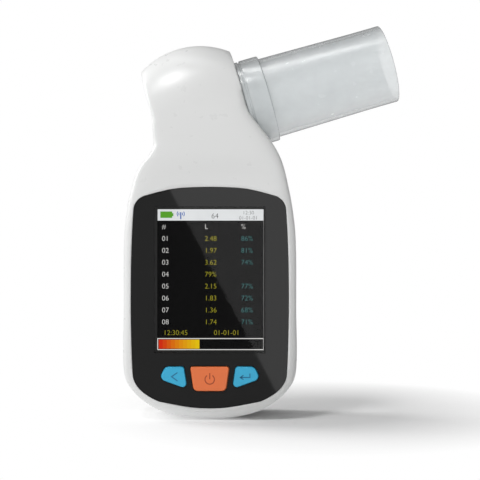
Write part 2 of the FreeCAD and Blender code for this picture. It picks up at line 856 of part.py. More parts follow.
def make_board_parts():
    """What sits on the back of the board: the radio module, the buzzer and the charging socket."""
    back = "-" + BOARD_BACK
    radio = linked_box("radio_module", "radio_width", "radio_height", "radio_length",
                       "radio_x - radio_width / 2", back, "radio_z - radio_length / 2")
    node(radio, "radio_module")
    buzzer = linked_rod("buzzer", "buzzer_radius", "buzzer_height", "buzzer_x", back, "buzzer_z")
    node(buzzer, "buzzer")
    case = linked_box("socket_case", "2 * socket_half_width", "socket_height", "socket_length",
                      "-socket_half_width", back, "wall / 2")
    space = linked_box("socket_space", "2 * (socket_half_width - socket_wall)",
                       "socket_height - 2 * socket_wall", "socket_length - socket_wall",
                       "-(socket_half_width - socket_wall)", back + " + socket_wall", "wall / 2")
    socket = doc.addObject("Part::Cut", "charging_socket")
    socket.Base, socket.Tool = case, space
    node(socket, "charging_socket")


def make_battery():
    """The cell and the foam pad that sticks it to the rear shell."""
    back = "(" + INNER_BACK + " - battery_gap)"
    node(linked_box("battery_pad", "2 * pad_half_width", "pad_thickness", "battery_length - 2 * wall",
                    "-pad_half_width", back + " - pad_thickness", "battery_bottom + wall"), "battery_pad")
    cell = linked_box("battery", "2 * battery_half_width", "battery_thickness", "battery_length",
                      "-battery_half_width", back + " - pad_thickness - battery_thickness",
                      "battery_bottom")
    node(cell, "battery")


def make_screw(name, places, seat, head_radius, head_height, radius, length):
    """Equal pan-head screws that go in from the back; seat is the depth under their heads."""
    screws = []
    for index, (x, z) in enumerate(places):
        under = "-(" + seat + ")"
        head = linked_rod("%s_head_%d" % (name, index), head_radius, head_height, x, under, z)
        shank = linked_rod("%s_shank_%d" % (name, index), radius, length,
                           x, under + " - (" + length + ")", z)
        screws.append(fused("%s_%d" % (name, index), [head, shank]))
    group(name, screws)


# The flow path, drawn along the tube

def make_flow_housing():
    """The clear turbine housing: a barrel in the head, then a flange and the collar outside it."""
    body = start_body("flow_housing")
    left = "-head_left + barrel_end_inset"
    flange = "head_right + flange_gap"
    groove = flange + " + flange_length"
    waist = "flange_radius - groove_depth"
    socket = "mouthpiece_radius + socket_gap"
    seal_left, seal_right = "seal_at - seal_wire", "seal_at + seal_wire"
    seal_floor = "barrel_radius - 2 * seal_wire"
    outlet = left + " + outlet_length"
    corners = [
        (left, "outlet_radius"), (outlet, "outlet_radius"), (outlet, "airway_radius"),
        (SOCKET_FLOOR, "airway_radius"), (SOCKET_FLOOR, socket), ("collar_end", socket),
        ("collar_end", "collar_radius - collar_chamfer"), ("collar_end - collar_chamfer", "collar_radius"),
        (COLLAR_START, "collar_radius"), (COLLAR_START, waist), (groove, waist), (groove, "flange_radius"),
        (flange, "flange_radius"), (flange, "barrel_radius"), (seal_right, "barrel_radius"),
        (seal_right, seal_floor), (seal_left, seal_floor), (seal_left, "barrel_radius"),
        (left, "barrel_radius"),
    ]
    revolve(body, corners)
    put_on_tube(body)


def make_mouthpiece():
    body = start_body("mouthpiece")
    start = SOCKET_FLOOR + " + mouthpiece_stop_gap"
    corners = [(start, "mouthpiece_bore"), ("mouthpiece_end", "mouthpiece_bore"),
               ("mouthpiece_end", "mouthpiece_end_radius"),
               ("mouthpiece_end - mouth_land", "mouthpiece_end_radius"),
               ("collar_end", "mouthpiece_radius"), (start, "mouthpiece_radius")]
    revolve(body, corners)
    tip = number("mouthpiece_end")
    dress(body, "Fillet", lambda edge: abs(edge.BoundBox.XMin - tip) < 1e-3, "mouthpiece_lip / 2")
    put_on_tube(body)


def make_sleeve():
    body = start_body("flow_sleeve")
    corners = [(SLEEVE_LEFT, SLEEVE_BORE), (SLEEVE_RIGHT, SLEEVE_BORE),
               (SLEEVE_RIGHT, SLEEVE_OUTSIDE), (SLEEVE_LEFT, SLEEVE_OUTSIDE)]
    revolve(body, corners)
    put_on_tube(body)


def make_seal():
    ring = doc.addObject("Part::Torus", "seal_ring")
    bind(ring, "Radius1", "barrel_radius - seal_wire + sleeve_gap / 2")
    bind(ring, "Radius2", "seal_wire - sleeve_gap / 4")
    ring.Placement = tube_placement().multiply(
        FreeCAD.Placement(Vec(number("seal_at"), 0, 0), FreeCAD.Rotation(DEPTH, 90)))
    bind(ring, "Placement.Base.x", "seal_at * cos(tube_tilt * 1 deg)")
    bind(ring, "Placement.Base.z", "tube_height + seal_at * sin(tube_tilt * 1 deg)")
    node(ring, "seal_ring")


def along_tube(radius, length, start, side=1):
    """A cylinder about the pieces' own X axis; side is -1 where it runs towards the outlet."""
    return Part.makeCylinder(radius, length, Vec(start, 0, 0), Vec(side, 0, 0))


def blade_section(at, turn):
    """A blade's section at a distance along the tube, turned about the tube's axis."""
    half = number("stator_blade") / 2
    low, high = number("bearing_radius + stator_hub") / 2, number("airway_radius - stator_ring / 2")
    corners = [Vec(at, -half, low), Vec(at, half, low), Vec(at, half, high), Vec(at, -half, high)]
    wire = Part.makePolygon(corners + corners[:1])
    wire.rotate(Vec(0, 0, 0), Vec(1, 0, 0), turn)
    return wire


def make_stator(name, side):
    """A fixed swirler: a ring and a hub joined by twisted blades; side is -1 on the outlet."""
    middle = number("turbine_middle") + side * number("stator_spacing")
    length, twist = number("stator_length"), side * number("stator_twist")
    start = middle - length / 2
    outside = number("airway_radius - fit_gap / 2")
    ring = along_tube(outside, length, start)
    ring = ring.cut(along_tube(outside - number("stator_ring"), length, start))
    hub = along_tube(number("stator_hub"), length, start)
    blades = []
    for index in range(STATOR_BLADES):
        turn = 360 * index / STATOR_BLADES
        sections = [blade_section(start + length * share, turn + twist * share) for share in (0, 0.5, 1)]
        blades.append(Part.makeLoft(sections, True, False))
    stator = hub.multiFuse(blades + [ring])
    inner = middle - side * length / 2
    seat = along_tube(number("bearing_radius + press_gap"), number("bearing_length"), inner, side)
    put_on_tube(solid_feature(name, stator.cut(seat)))


def make_rotor():
    """The flat vane that the swirling air turns, its shaft and the two bearing cups."""
    middle = number("turbine_middle")
    length, reach, thin = number("rotor_length"), number("rotor_radius"), number("rotor_thickness")
    start = middle - length / 2
    vane = Part.makeBox(length, 2 * reach, thin, Vec(start, -reach, -thin / 2))
    hub = along_tube(number("shaft_radius + rotor_thickness"), length, start)
    bore = along_tube(number("shaft_radius + press_gap"), length, start)
    put_on_tube(solid_feature("rotor_vane", vane.fuse(hub).cut(bore)))
    half = number("shaft_half_length")
    shaft = along_tube(number("shaft_radius"), 2 * half, middle - half)
    put_on_tube(solid_feature("rotor_shaft", shaft))
    cups = []
    for side in (-1, 1):
        away = number("stator_spacing - stator_length / 2")
        inner = middle + side * away
        cup = along_tube(number("bearing_radius"), number("bearing_length"), inner, side)
        hole = along_tube(number("shaft_radius + bearing_gap"),
                          number("shaft_half_length + bearing_gap") - away, inner, side)
        cups.append(cup.cut(hole))
    put_on_tube(solid_feature("rotor_bearings", Part.makeCompound(cups)))


def make_sensors():
    """Two small boards beside the sleeve: light sources over it and receivers under it."""
    left = number("rib_left + rib_width / 2 + fit_gap")
    right = number("rib_right - rib_width / 2 - fit_gap")
    near_side = number(SLEEVE_OUTSIDE + " + fit_gap")
    far_side = near_side + number("sensor_height")
    half = number("sensor_half_width")
    for name, lens_name, side in (("source_board", "light_sources", 1),
                                  ("receiver_board", "light_receivers", -1)):
        low = far_side if side > 0 else -far_side - number("sensor_plate")
        board = Part.makeBox(right - left, 2 * half, number("sensor_plate"), Vec(left, -half, low))
        put_on_tube(solid_feature(name, board))
        lenses = []
        for offset in (-1, 1):
            along = number("turbine_middle") + offset * number("sensor_spacing") / 2
            lenses.append(Part.makeCylinder(number("sensor_radius"), number("sensor_height"),
                                            Vec(along, 0, side * near_side), Vec(0, 0, side)))
        put_on_tube(solid_feature(lens_name, Part.makeCompound(lenses)))


make_panel()
make_shells()
make_window()
for key in KEYS:
    make_key(key)
make_display()
make_board()
make_switches()
make_board_parts()
make_battery()
make_screw("case_screws", BOSSES, "-screw_seat", "screw_head_radius", "screw_head_height",
           "screw_radius", "screw_length")
make_screw("board_screws", POSTS, BOARD_BACK, "2 * post_screw_radius", "post_screw_radius",
           "post_screw_radius", "board_thickness + post_screw_radius * 2")
make_flow_housing()
make_mouthpiece()
make_sleeve()
make_seal()
make_stator("outlet_swirler", -1)
make_stator("inlet_swirler", 1)
make_rotor()
make_sensors()
doc.recompute()

for item in doc.Objects:
    if "Invalid" in item.State or "Error" in item.State:
        raise RuntimeError("%s did not build: %s" % (item.Label, item.State))
for item in NODES:
    if item.Shape.isNull() or not item.Shape.isValid() or not item.Shape.Solids:
        raise RuntimeError("%s has no valid solid" % item.Label)

os.makedirs("parts", exist_ok=True)
for item in NODES:
    item.Shape.exportStep("parts/%s.step" % item.Label)
    print(item.Label, len(item.Shape.Solids), round(item.Shape.Volume, 1))
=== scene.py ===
import json
import math
import bmesh
import bpy
from mathutils import Matrix, Vector
from mathutils.kdtree import KDTree


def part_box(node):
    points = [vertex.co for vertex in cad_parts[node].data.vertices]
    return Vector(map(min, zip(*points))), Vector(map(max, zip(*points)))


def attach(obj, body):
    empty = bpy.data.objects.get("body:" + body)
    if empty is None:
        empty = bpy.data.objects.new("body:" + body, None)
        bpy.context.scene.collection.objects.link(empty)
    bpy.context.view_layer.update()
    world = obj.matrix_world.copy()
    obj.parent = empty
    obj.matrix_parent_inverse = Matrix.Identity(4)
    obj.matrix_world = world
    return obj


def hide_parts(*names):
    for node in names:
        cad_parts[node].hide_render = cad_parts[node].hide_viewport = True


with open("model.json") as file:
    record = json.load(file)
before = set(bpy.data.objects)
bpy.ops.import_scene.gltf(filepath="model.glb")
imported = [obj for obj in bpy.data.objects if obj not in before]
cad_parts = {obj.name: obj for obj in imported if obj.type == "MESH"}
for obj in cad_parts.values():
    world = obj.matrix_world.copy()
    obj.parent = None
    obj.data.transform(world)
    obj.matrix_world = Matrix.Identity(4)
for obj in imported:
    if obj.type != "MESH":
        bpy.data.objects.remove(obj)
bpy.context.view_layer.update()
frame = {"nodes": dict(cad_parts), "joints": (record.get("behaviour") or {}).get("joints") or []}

# Sizes are written in millimetres and turned into metres where a mesh is made.
MM = 0.001
JOINTS = {joint["name"]: joint for joint in frame["joints"]}
TUBE_AXIS = Vector(JOINTS["flow_module_pull"]["axis"])
TUBE_ORIGIN = Vector(JOINTS["rotor_spin"]["pos_m"]) / MM
UP_TUBE = TUBE_AXIS.cross(Vector((0, 1, 0)))

CAMERA_HEIGHT = 73.0
CAMERA_SIDE = 12.2
CAMERA_DISTANCE = 444.0
PANEL_FACE = -16.7
FOCAL_LENGTH = 82.5


# Mesh helpers

def add_object(name, mesh, material=None):
    obj = bpy.data.objects.new(name, mesh)
    bpy.context.scene.collection.objects.link(obj)
    if material:
        mesh.materials.append(material)
    return obj


def smooth_shading(mesh, angle=30):
    mesh.shade_smooth()
    mesh.set_sharp_from_angle(angle=math.radians(angle))


def mesh_from(name, points, faces, angle=30):
    """A mesh from points in millimetres."""
    mesh = bpy.data.meshes.new(name)
    mesh.from_pydata([tuple(Vector(point) * MM) for point in points], [], faces)
    mesh.update()
    smooth_shading(mesh, angle)
    return mesh


def piece(name, mesh, material, body, replaced=()):
    """A visible piece that rides on a body and takes a material slot."""
    obj = add_object(name, mesh, material)
    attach(obj, body)
    if replaced:
        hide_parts(*replaced)
    return obj


def on_tube(along, away, turn):
    """A point at a distance along the tube and away from its axis."""
    return (TUBE_ORIGIN + TUBE_AXIS * along + UP_TUBE * (away * math.cos(turn))
            + Vector((0, away * math.sin(turn), 0)))


def lathe(name, profile, segments=128):
    """Turn a closed profile, given as distances along and away from the tube's axis."""
    count = len(profile)
    points = [on_tube(along, away, 2 * math.pi * step / segments)
              for step in range(segments) for along, away in profile]
    faces = []
    for step in range(segments):
        here, there = step * count, (step + 1) % segments * count
        for index in range(count):
            after = (index + 1) % count
            faces.append((here + index, here + after, there + after, there + index))
    return mesh_from(name, points, faces)


def rounded(start, corner, stop, radius, steps=5):
    """Points of an arc that takes the place of a profile's corner."""
    start, corner, stop = Vector(start), Vector(corner), Vector(stop)
    into, out = (start - corner).normalized(), (stop - corner).normalized()
    half = into.angle(out) / 2
    centre = corner + (into + out).normalized() * radius / math.sin(half)
    first, last = corner + into * radius / math.tan(half), corner + out * radius / math.tan(half)
    points = []
    for step in range(steps + 1):
        share = step / steps
        point = first.lerp(last, share) - centre
        points.append(tuple(centre + point.normalized() * radius))
    return points


def soft_profile(corners):
    """A closed profile of (along, away, radius) corners, rounded where the radius isn't zero."""
    points = []
    for index, (along, away, radius) in enumerate(corners):
        before, after = corners[index - 1], corners[(index + 1) % len(corners)]
        if radius:
            points += rounded(before[:2], (along, away), after[:2], radius)
        else:
            points.append((along, away))
    return points


# Materials

# Most of a noise texture's values lie between these
NOISE_SPAN = (0.3, 0.7)


def ramp(tree, value, start, stop, low=0.0, high=1.0):
    """Spread a node's value between two others: low at start, high at stop, held beyond them."""
    node = tree.nodes.new("ShaderNodeMapRange")
    limits = {"From Min": start, "From Max": stop, "To Min": low, "To Max": high}
    for field, limit in limits.items():
        node.inputs[field].default_value = limit
    tree.links.new(value, node.inputs["Value"])
    return node.outputs["Result"]


class Shader:
    """A material's node tree with short calls for the nodes that repeat."""

    def __init__(self, name):
        self.material = bpy.data.materials.new(name)
        self.material.use_nodes = True
        self.tree = self.material.node_tree
        self.tree.nodes.clear()
        self.output = self.add("ShaderNodeOutputMaterial")

    def add(self, kind, **values):
        node = self.tree.nodes.new(kind)
        for name, value in values.items():
            if name in node.inputs:
                node.inputs[name].default_value = value
            else:
                setattr(node, name, value)
        return node

    def link(self, start, stop):
        self.tree.links.new(start, stop)

    def noise(self, scale, detail=4.0, low=0.0, high=1.0):
        """Noise in the object's own metres, spread between two values."""
        place = self.add("ShaderNodeTexCoord")
        noise = self.add("ShaderNodeTexNoise", Scale=scale, Detail=detail)
        self.link(place.outputs["Object"], noise.inputs["Vector"])
        return ramp(self.tree, noise.outputs["Fac"], *NOISE_SPAN, low, high)

    def bump(self, scale, depth_mm, detail=2.0):
        bump = self.add("ShaderNodeBump", Strength=1.0, Distance=depth_mm * MM)
        self.link(self.noise(scale, detail), bump.inputs["Height"])
        return bump.outputs["Normal"]

    def finish(self, surface):
        self.link(surface, self.output.inputs["Surface"])
        return self.material


def plastic(name, color, roughness, spread=0.05, grain=900, depth=0.004, mottle=0.02, **values):
    """Moulded plastic: small changes of colour and roughness over a fine grain."""
    shader = Shader(name)
    body = shader.add("ShaderNodeBsdfPrincipled")
    for field, value in values.items():
        body.inputs[field.replace("_", " ")].default_value = value
    low = [max(part * (1 - mottle), 0) for part in color]
    mix = shader.add("ShaderNodeMix", data_type="RGBA")
    mix.inputs[6].default_value = (*low, 1)
    mix.inputs[7].default_value = (*color, 1)
    shader.link(shader.noise(60, 3), mix.inputs[0])
    shader.link(mix.outputs[2], body.inputs["Base Color"])
    wear = shader.noise(240, 5, roughness - spread, roughness + spread)
    shader.link(wear, body.inputs["Roughness"])
    shader.link(shader.bump(grain, depth), body.inputs["Normal"])
    return shader.finish(body.outputs["BSDF"])


def metal(name, color, roughness):
    return plastic(name, color, roughness, spread=0.08, grain=2500, depth=0.003, Metallic=1.0)


# How fast the gloss grows towards the outline, and its share where the surface faces the eye
EDGE_POWER = 1.4
FACE_GLOSS = 0.03


def clear_plastic(name, haze_share, gloss_share):
    """Clear moulded plastic: it lets light through, catches some and mirrors at its edges."""
    shader = Shader(name)
    through = shader.add("ShaderNodeBsdfTransparent")
    through.inputs["Color"].default_value = (0.975, 0.985, 0.988, 1)
    haze = shader.add("ShaderNodeBsdfDiffuse")
    haze.inputs["Color"].default_value = (0.91, 0.94, 0.95, 1)
    gloss = shader.add("ShaderNodeBsdfGlossy")
    grain = shader.bump(700, 0.004)
    shader.link(grain, haze.inputs["Normal"])
    shader.link(grain, gloss.inputs["Normal"])
    shader.link(shader.noise(180, 4, 0.20, 0.28), gloss.inputs["Roughness"])
    body = shader.add("ShaderNodeMixShader")
    shader.link(shader.noise(90, 3, haze_share * 0.9, haze_share * 1.1), body.inputs["Fac"])
    shader.link(through.outputs["BSDF"], body.inputs[1])
    shader.link(haze.outputs["BSDF"], body.inputs[2])
    facing = shader.add("ShaderNodeLayerWeight", Blend=0.5)
    bend = shader.add("ShaderNodeMath", operation="POWER")
    bend.inputs[1].default_value = EDGE_POWER
    shader.link(facing.outputs["Facing"], bend.inputs[0])
    edge = ramp(shader.tree, bend.outputs["Value"], 0, 1, FACE_GLOSS, gloss_share)
    surface = shader.add("ShaderNodeMixShader")
    shader.link(edge, surface.inputs["Fac"])
    shader.link(body.outputs["Shader"], surface.inputs[1])
    shader.link(gloss.outputs["BSDF"], surface.inputs[2])
    return shader.finish(surface.outputs["Shader"])


def lens(name):
    """The display's clear cover: it lets the picture through and mirrors a little."""
    shader = Shader(name)
    through = shader.add("ShaderNodeBsdfTransparent")
    through.inputs["Color"].default_value = (0.97, 0.97, 0.97, 1)
    gloss = shader.add("ShaderNodeBsdfGlossy")
    shader.link(shader.noise(300, 3, 0.02, 0.03), gloss.inputs["Roughness"])
    fresnel = shader.add("ShaderNodeFresnel", IOR=1.3)
    mix = shader.add("ShaderNodeMixShader")
    shader.link(fresnel.outputs["Fac"], mix.inputs["Fac"])
    shader.link(through.outputs["BSDF"], mix.inputs[1])
    shader.link(gloss.outputs["BSDF"], mix.inputs[2])
    return shader.finish(mix.outputs["Shader"])


def glow(name, color, strength):
    """A lit part of the display, with the fine unevenness of its backlight."""
    shader = Shader(name)
    light = shader.add("ShaderNodeEmission")
    light.inputs["Color"].default_value = (*color, 1)
    shader.link(shader.noise(120, 2, strength * 0.92, strength), light.inputs["Strength"])
    return shader.finish(light.outputs["Emission"])


WHITE = plastic("white_moulding", (0.78, 0.785, 0.78), 0.29, spread=0.02, grain=1400, depth=0.0015,
                mottle=0.004)
PANEL = plastic("black_panel", (0.017, 0.017, 0.017), 0.03, spread=0.008, grain=300, depth=0.0002)
BLUE = plastic("blue_key", (0.04, 0.47, 0.75), 0.38, grain=1600, depth=0.003)
ORANGE = plastic("orange_key", (0.90, 0.20, 0.055), 0.38, grain=1600, depth=0.003)
# Painted shade: darker hues of the keys for the flat key marks, in place of the shade inside their
# engraved grooves
BLUE_GROOVE_SHADE = plastic("blue_groove_shade", (0.012, 0.16, 0.34), 0.5)
ORANGE_GROOVE_SHADE = plastic("orange_groove_shade", (0.42, 0.06, 0.014), 0.5)
SCREEN = plastic("screen_black", (0.002, 0.002, 0.0025), 0.5, depth=0.001, Specular_IOR_Level=0.05)
BORDER = plastic("border_print", (0.017, 0.017, 0.017), 0.4, depth=0.001)
GREY = plastic("grey_moulding", (0.66, 0.67, 0.66), 0.5)
LIGHT = plastic("turbine_moulding", (0.74, 0.76, 0.76), 0.4)
DARK = plastic("black_moulding", (0.02, 0.02, 0.02), 0.45)
BOARD = plastic("circuit_board", (0.015, 0.13, 0.05), 0.4, mottle=0.4)
SOURCE = plastic("sensor_lens", (0.10, 0.012, 0.02), 0.15)
STEEL = metal("steel", (0.62, 0.62, 0.62), 0.3)
FOIL = metal("cell_foil", (0.66, 0.66, 0.68), 0.35)
RUBBER = plastic("seal_rubber", (0.025, 0.025, 0.025), 0.7)
FOAM = plastic("foam", (0.03, 0.03, 0.03), 0.9, depth=0.05)
CUP = plastic("bearing_cup", (0.4, 0.05, 0.06), 0.2)
CLEAR = clear_plastic("clear_moulding", 0.42, 0.85)
WINDOW = lens("display_cover")

NODE_MATERIALS = {
    "front_panel": PANEL, "display_window": WINDOW, "display_module": SCREEN, "key_left": BLUE,
    "key_right": BLUE, "key_power": ORANGE, "display_tray": DARK, "flow_sleeve": GREY,
    "inlet_swirler": LIGHT, "outlet_swirler": LIGHT, "rotor_vane": DARK, "rotor_bearings": CUP,
    "rotor_shaft": STEEL, "main_board": BOARD, "source_board": BOARD, "receiver_board": BOARD,
    "key_switches": DARK, "buzzer": DARK, "light_sources": SOURCE, "light_receivers": SOURCE,
    "battery": FOIL, "battery_pad": FOAM, "seal_ring": RUBBER, "case_screws": STEEL,
    "board_screws": STEEL, "charging_socket": STEEL, "radio_module": STEEL,
}
for name, material in NODE_MATERIALS.items():
    mesh = frame["nodes"][name].data
    mesh.materials.clear()
    mesh.materials.append(material)


# The casing's shells and panel, with the same faces as the solids and smooth shading

# The head meets the neck on a plane this far over the tube's axis. The normals of the skin in a
# band on both sides of it are evened out over a small reach, and ledges take the skin's normals.
JOIN_OVER = 4.0
JOIN_BAND = 3.2
JOIN_REACH = 2.2
SKIN_SLOPE = 0.6
SAME_WAY = 0.5


def faces_out(face):
    """Whether a face of the casing looks away from its inside."""
    return face.normal.dot(face.center - Vector((0, 0, face.center.z))) > 0


def over_join(point):
    """How far a mesh's point lies over the plane where the head meets the neck."""
    return point.dot(UP_TUBE) / MM - TUBE_ORIGIN.dot(UP_TUBE) - JOIN_OVER


def soften_join(mesh):
    """Even out the skin's normals where the head's mouldings run into the neck."""
    near = [face for face in mesh.polygons
            if abs(over_join(face.center)) < 2 * JOIN_BAND and faces_out(face)]
    even = [face for face in near if abs(face.normal.dot(UP_TUBE)) < SKIN_SLOPE]
    tree = KDTree(len(even))
    for index, face in enumerate(even):
        tree.insert(face.center, index)
    tree.balance()
    normals = [(0, 0, 0)] * len(mesh.loops)
    for face in near:
        for loop in face.loop_indices:
            place = mesh.vertices[mesh.loops[loop].vertex_index].co
            if abs(over_join(place)) > JOIN_BAND:
                continue
            around = [even[index] for _, index, _ in tree.find_range(place, JOIN_REACH * MM)]
            same = [other for other in around if other.normal.dot(face.normal) > SAME_WAY]
            total = sum((other.normal * other.area for other in same or around), Vector())
            if total.length:
                normals[loop] = tuple(total.normalized())
    mesh.normals_split_custom_set(normals)


SAME_POINT = 0.002


def eased(value, start, stop):
    """Rises softly from 0 at one value to 1 at another."""
    share = min(max((value - start) / (stop - start), 0), 1)
    return share * share * (3 - 2 * share)


# The low corners go up by LIFT and the panel's top corners go down by DROP. Both grow over a span
# of distances from the middle and end towards the rear and over a span of heights. Beside the
# keys and the picture the heights begin or end farther in than over or under their openings.
LIFT, LIFT_SIDES, LIFT_FROM = 2.6, (3, 28), 4
DROP, DROP_SIDES, DROP_HEIGHTS = 2.0, (12, 32), (95, 106)
UNDER_KEYS, BESIDE_KEYS, KEYS_SIDES = 11.5, 24.5, (20, 25.5)
OVER_PICTURE, BESIDE_PICTURE, PICTURE_SIDES = (87, 91), (74, 88), (23, 28)
FRONT_DEPTHS = (-6, 6)


def between(one, other, share):
    return one + (other - one) * share


def round_corners(mesh):
    """Draw the front's corners in, low ones most, and leave the openings as they are."""
    for vertex in mesh.vertices:
        side, depth, height = abs(vertex.co.x) / MM, vertex.co.y / MM, vertex.co.z / MM
        lift_end = between(UNDER_KEYS, BESIDE_KEYS, eased(side, *KEYS_SIDES))
        lift = LIFT * eased(side, *LIFT_SIDES) * (1 - eased(height, LIFT_FROM, lift_end))
        past_picture = eased(side, *PICTURE_SIDES)
        drop_span = [between(one, other, past_picture)
                     for one, other in zip(OVER_PICTURE, BESIDE_PICTURE)]
        drop = DROP * eased(side, *DROP_SIDES) * eased(height, *drop_span)
        drop *= 1 - eased(height, *DROP_HEIGHTS)
        vertex.co.z += (lift - drop) * (1 - eased(depth, *FRONT_DEPTHS)) * MM


def skin(name, node, material, angle=28):
    """A copy of a solid's faces with smooth shading and rounder front corners."""
    work = bmesh.new()
    work.from_mesh(frame["nodes"][node].data)
    bmesh.ops.remove_doubles(work, verts=work.verts, dist=SAME_POINT * MM)
    mesh = bpy.data.meshes.new(name)
    work.to_mesh(mesh)
    work.free()
    round_corners(mesh)
    smooth_shading(mesh, angle)
    soften_join(mesh)
    return piece(name, mesh, material, "casing", [node])


skin("casing_front", "front_shell", WHITE)
skin("casing_rear", "rear_shell", WHITE)
skin("panel_plate", "front_panel", PANEL, 8)


# The clear parts of the airway

HOUSING = [
    (-22.8, 13.9, 0.2), (-15.3, 13.9, 0), (-15.3, 13.4, 0), (15.4, 13.4, 0), (15.4, 16.8, 0),
    (25.0, 16.8, 0.15), (25.0, 18.1, 0.5), (17.1, 18.1, 0.25), (17.1, 17.4, 0), (16.4, 17.4, 0),
    (16.4, 17.9, 0.2), (15.0, 17.9, 0.2), (15.0, 15.0, 0), (10.9, 15.0, 0), (10.9, 14.0, 0),
    (9.9, 14.0, 0), (9.9, 15.0, 0), (-22.8, 15.0, 0.2),
]
MOUTHPIECE = [
    (15.9, 15.1, 0.2), (77.0, 15.1, 0.4), (77.0, 16.2, 0.4), (65.0, 16.2, 0),
    (25.0, 16.75, 0), (15.9, 16.75, 0.2),
]
piece("clear_housing", lathe("clear_housing", soft_profile(HOUSING)), CLEAR,
      "flow_module", ["flow_housing"])
piece("clear_mouthpiece", lathe("clear_mouthpiece", soft_profile(MOUTHPIECE)), CLEAR,
      "mouth_tube", ["mouthpiece"])


# Flat graphics: the lit picture, the key marks

class Flat:
    """A flat drawing that faces front, made of strokes, plates and figures."""

    def __init__(self, depth):
        self.depth = depth
        self.points = []
        self.faces = []

    def polygon(self, outline):
        first = len(self.points)
        self.points += [(x, self.depth, z) for x, z in outline]
        self.faces.append(tuple(range(first, len(self.points))))

    def plate(self, left, right, low, high):
        self.polygon([(left, low), (right, low), (right, high), (left, high)])

    def stroke(self, path, width):
        """A line of even width with mitred corners and square ends."""
        path = [Vector(point) for point in path]
        edges = []
        for index, point in enumerate(path):
            before = (point - path[index - 1]).normalized() if index else None
            after = (path[index + 1] - point).normalized() if index + 1 < len(path) else None
            way = (before or after) + (after or before)
            side = Vector((-way.y, way.x)).normalized()
            straight = (after or before)
            reach = width / 2 / max(abs(side.dot(Vector((-straight.y, straight.x)))), 0.3)
            edges.append((point + side * reach, point - side * reach))
        for (one, two), (three, four) in zip(edges, edges[1:]):
            self.polygon([tuple(one), tuple(two), tuple(four), tuple(three)])

    def figures(self, text, x, z, size, centred=False):
        """Plain figures from the built-in typeface, standing on the line z."""
        curve = bpy.data.curves.new("figures", type="FONT")
        curve.body, curve.size, curve.offset = text, size, -0.04
        curve.align_x = "CENTER" if centred else "LEFT"
        obj = bpy.data.objects.new("figures", curve)
        bpy.context.scene.collection.objects.link(obj)
        mesh = obj.to_mesh()
        first = len(self.points)
        self.points += [(x + vertex.co.x, self.depth, z + vertex.co.y) for vertex in mesh.vertices]
        self.faces += [tuple(first + corner for corner in face.vertices) for face in mesh.polygons]
        obj.to_mesh_clear()
        bpy.data.objects.remove(obj)
        bpy.data.curves.remove(curve)

    def piece(self, name, material, body, slot):
        return piece(name, mesh_from(name, self.points, self.faces), material, body)


SCREEN_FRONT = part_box("display_module")[0].y / MM
PICTURE_LEFT, PICTURE_RIGHT = -21.3, 21.8
PICTURE_TOP, PICTURE_LOW = 85.5, 28.2
HEADER_LOW = 80.9
ROW_TOP, ROW_PITCH = 77.5, 4.85
COLUMNS = (-19.6, -2.2, 12.6)
FIGURE_SIZE = 2.9
BAR_LOW, BAR_HIGH, BAR_FILLED = 28.4, 32.9, -4.3
READINGS = [("2.48", "86%"), ("1.97", "81%"), ("3.62", "74%"), ("79%", ""), ("2.15", "77%"),
            ("1.83", "72%"), ("1.36", "68%"), ("1.74", "71%")]


def screen_layer(step):
    """Depth of a layer of the picture; each lies a hair in front of the one before."""
    return SCREEN_FRONT - 0.02 * step


